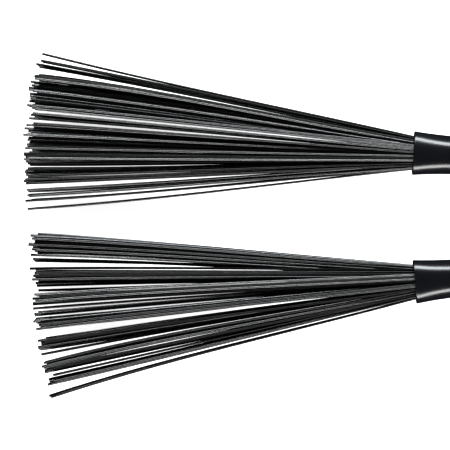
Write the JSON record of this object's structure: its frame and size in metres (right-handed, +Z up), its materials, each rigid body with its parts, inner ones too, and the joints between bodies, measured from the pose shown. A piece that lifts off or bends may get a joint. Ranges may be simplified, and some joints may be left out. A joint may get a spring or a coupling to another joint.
{
  "type": "pair of retractable drum brushes",
  "caption": "Pair of retractable drum brushes: black fan bristles spread from the flared oval mouth of a round rubber-covered handle, with a pull rod and knob at the back.",
  "frame": {"origin": "middle of the pair's footprint, on the table that both handles lie on", "axes": "+X from the bristle tips towards the pull knobs, +Y across the pair from brush b to brush a, +Z up"},
  "size_m": [0.3498, 0.1264, 0.0138],
  "materials": {
    "grip_rubber": "smooth, glossy black",
    "tube_aluminium": "drawn, satin",
    "end_plug_plastic": "moulded, black",
    "rod_steel": "bright plated wire",
    "ferrule_steel": "nickel plated, crimped",
    "slider_nylon": "natural nylon",
    "ring_rubber": "black rubber",
    "knob_rubber": "smooth, glossy black",
    "bristle_nylon": "extruded black bristle, shiny, cut square"
  },
  "bodies": {
    "brush_a_rod": {"brush_a_pull_rod": "rod_steel", "brush_a_ferrule": "ferrule_steel", "brush_a_slider": "slider_nylon", "brush_a_friction_ring": "ring_rubber", "brush_a_pull_knob": "knob_rubber", "brush_a_bristle_tuft_1": "bristle_nylon", "brush_a_bristle_tuft_2": "bristle_nylon", "brush_a_bristle_tuft_3": "bristle_nylon", "brush_a_bristle_tuft_4": "bristle_nylon", "brush_a_bristle_tuft_5": "bristle_nylon", "brush_a_bristle_tuft_6": "bristle_nylon"},
    "brush_a_handle": {"brush_a_grip": "grip_rubber", "brush_a_inner_tube": "tube_aluminium", "brush_a_end_plug": "end_plug_plastic"},
    "brush_b_rod": {"brush_b_pull_rod": "rod_steel", "brush_b_ferrule": "ferrule_steel", "brush_b_slider": "slider_nylon", "brush_b_friction_ring": "ring_rubber", "brush_b_pull_knob": "knob_rubber", "brush_b_bristle_tuft_1": "bristle_nylon", "brush_b_bristle_tuft_2": "bristle_nylon", "brush_b_bristle_tuft_3": "bristle_nylon", "brush_b_bristle_tuft_4": "bristle_nylon", "brush_b_bristle_tuft_5": "bristle_nylon", "brush_b_bristle_tuft_6": "bristle_nylon"},
    "brush_b_handle": {"brush_b_grip": "grip_rubber", "brush_b_inner_tube": "tube_aluminium", "brush_b_end_plug": "end_plug_plastic"}
  },
  "joints": [
    {"name": "brush_a_retract", "type": "slide", "parent": "brush_a_rod", "child": "brush_a_handle", "axis": [-0.9985, 0.055, 0], "range_m": [0, 0.14], "deforming": ["brush_a_bristle_tuft_1", "brush_a_bristle_tuft_2", "brush_a_bristle_tuft_3", "brush_a_bristle_tuft_4", "brush_a_bristle_tuft_5", "brush_a_bristle_tuft_6"]},
    {"name": "brush_b_retract", "type": "slide", "parent": "brush_b_rod", "child": "brush_b_handle", "axis": [-0.996, -0.0889, 0], "range_m": [0, 0.14], "deforming": ["brush_b_bristle_tuft_1", "brush_b_bristle_tuft_2", "brush_b_bristle_tuft_3", "brush_b_bristle_tuft_4", "brush_b_bristle_tuft_5", "brush_b_bristle_tuft_6"]},
    {"name": "brush_b_lift", "type": "slide", "parent": "brush_a_rod", "child": "brush_b_rod", "axis": [0, 0, 1], "range_m": [0, 0.1]}
  ]
}
